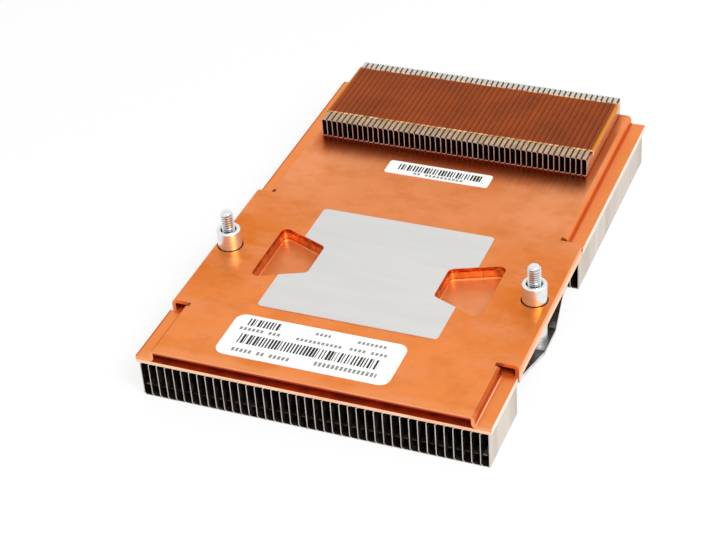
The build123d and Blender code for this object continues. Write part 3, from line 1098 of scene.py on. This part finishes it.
class HEATSINK_OT_set_stage(bpy.types.Operator):
    """Sets the white table, the soft light and the camera"""

    bl_idname = "heatsink.set_stage"
    bl_label = "Set Stage"

    def execute(self, context):
        self.table()
        self.light()
        self.camera()
        context.scene.view_settings.view_transform = "Standard"
        return {"FINISHED"}

    def table(self):
        """A round white slab under the part, which also glows a little."""
        stage = settings("stage")
        bpy.ops.object.select_all(action="DESELECT")
        place = (0, 0, CAD_BOX[0].z)
        bpy.ops.mesh.primitive_circle_add(vertices=96, radius=TABLE_RADIUS, fill_type="NGON", location=place)
        floor = bpy.context.object
        floor.name = "white_table"
        with editing():
            bpy.ops.mesh.select_all(action="SELECT")
            bpy.ops.mesh.extrude_region_move(TRANSFORM_OT_translate={"value": (0, 0, -TABLE_THICKNESS)})
            bpy.ops.mesh.select_all(action="SELECT")
            bpy.ops.mesh.normals_make_consistent(inside=False)
        bpy.ops.object.transform_apply(location=True, rotation=True, scale=True)
        finish = Finish("white_table")
        tone = finish.noise(3.0, 2, 0.5)
        colour = finish.mix(tone, stage.floor, toned(stage.floor, 0.99))
        lit = finish.node("ShaderNodeBsdfPrincipled", inputs={"Base Color": colour, "Roughness": 0.9})
        white = finish.node("ShaderNodeEmission", inputs={"Color": (1, 1, 1, 1), "Strength": 1.0})
        seen = self.seen(finish)
        both = finish.node("ShaderNodeMixShader", inputs={0: seen * TABLE_GLOW, 1: lit, 2: white})
        finish.node("ShaderNodeOutputMaterial", inputs={"Surface": both})
        floor.data.materials.append(finish.owner)

    def seen(self, finish):
        """One on rays from the camera, from gloss and through glass."""
        kinds = ("Camera", "Glossy", "Transmission")
        camera, gloss, glass = (finish.node("ShaderNodeLightPath", output=f"Is {kind} Ray") for kind in kinds)
        return camera.either(gloss).either(glass)

    def light(self):
        """A white room, brighter to the eye than as a lamp, and one soft lamp."""
        scene = bpy.context.scene
        scene.world = bpy.data.worlds.new("white_room")
        room = Finish("white_room", scene.world)
        strength = ROOM_LIGHT + (1 - ROOM_LIGHT) * self.seen(room)
        white = room.node("ShaderNodeBackground", inputs={"Color": (1, 1, 1, 1), "Strength": strength})
        room.node("ShaderNodeOutputWorld", inputs={"Surface": white})
        self.softbox("key_softbox", place=(0.55, -0.35, 0.75), size=0.6, power=8.0)

    def softbox(self, name, place, size, power):
        """A round area lamp that points at the origin."""
        lamp = bpy.data.objects.new(name, bpy.data.lights.new(name, "AREA"))
        lamp.data.shape = "DISK"
        lamp.data.size = size
        lamp.data.energy = power
        lamp.location = place
        lamp.rotation_euler = (-Vector(place)).to_track_quat("-Z", "Y").to_euler()
        bpy.context.scene.collection.objects.link(lamp)

    def camera(self):
        """The camera, set from the stage's angles and distance."""
        stage = settings("stage")
        sideways = math.cos(stage.elevation)
        back = Vector((
            math.sin(stage.azimuth) * sideways,
            -math.cos(stage.azimuth) * sideways,
            math.sin(stage.elevation),
        ))
        level_right = Vector((0, 0, 1)).cross(back).normalized()
        level_up = back.cross(level_right)
        right = level_right * math.cos(stage.roll) - level_up * math.sin(stage.roll)
        up = level_up * math.cos(stage.roll) + level_right * math.sin(stage.roll)
        camera = bpy.data.objects.new("camera", bpy.data.cameras.new("camera"))
        camera.data.lens = stage.lens
        camera.data.sensor_width = 36.0
        camera.data.clip_start = 0.01
        camera.matrix_world = Matrix((right, up, back)).transposed().to_4x4()
        camera.location = Vector(stage.aim) + back * stage.distance
        bpy.context.scene.collection.objects.link(camera)
        bpy.context.scene.camera = camera


OPERATORS = (
    HEATSINK_OT_dress_plates,
    HEATSINK_OT_dress_core,
    HEATSINK_OT_dress_fins,
    HEATSINK_OT_dress_board_fins,
    HEATSINK_OT_dress_film,
    HEATSINK_OT_dress_skins,
    HEATSINK_OT_dress_springs,
    HEATSINK_OT_dress_sleeves,
    HEATSINK_OT_dress_screws,
    HEATSINK_OT_set_stage,
)


class HEATSINK_PT_dressing(bpy.types.Panel):
    """Lists the steps of the dressing and their settings"""

    bl_label = "Heatsink Dressing"
    bl_space_type = "VIEW_3D"
    bl_region_type = "UI"
    bl_category = "Heatsink"

    def draw(self, context):
        for name in SETTINGS:
            group = getattr(context.scene, name)
            box = self.layout.box()
            for key in group.__annotations__:
                box.prop(group, key, text=key.replace("_", " ").title())
        for operator in OPERATORS:
            self.layout.operator(operator.bl_idname)


CLASSES = (*SETTINGS.values(), *OPERATORS, HEATSINK_PT_dressing)


def register():
    for cls in CLASSES:
        bpy.utils.register_class(cls)
    for name, group in SETTINGS.items():
        setattr(bpy.types.Scene, name, bpy.props.PointerProperty(type=group))


def unregister():
    for name in SETTINGS:
        delattr(bpy.types.Scene, name)
    for cls in reversed(CLASSES):
        bpy.utils.unregister_class(cls)


def main():
    register()
    for operator in OPERATORS:
        step = operator.bl_idname.partition(".")[2]
        getattr(bpy.ops.heatsink, step)()


if __name__ == "__main__":
    main()
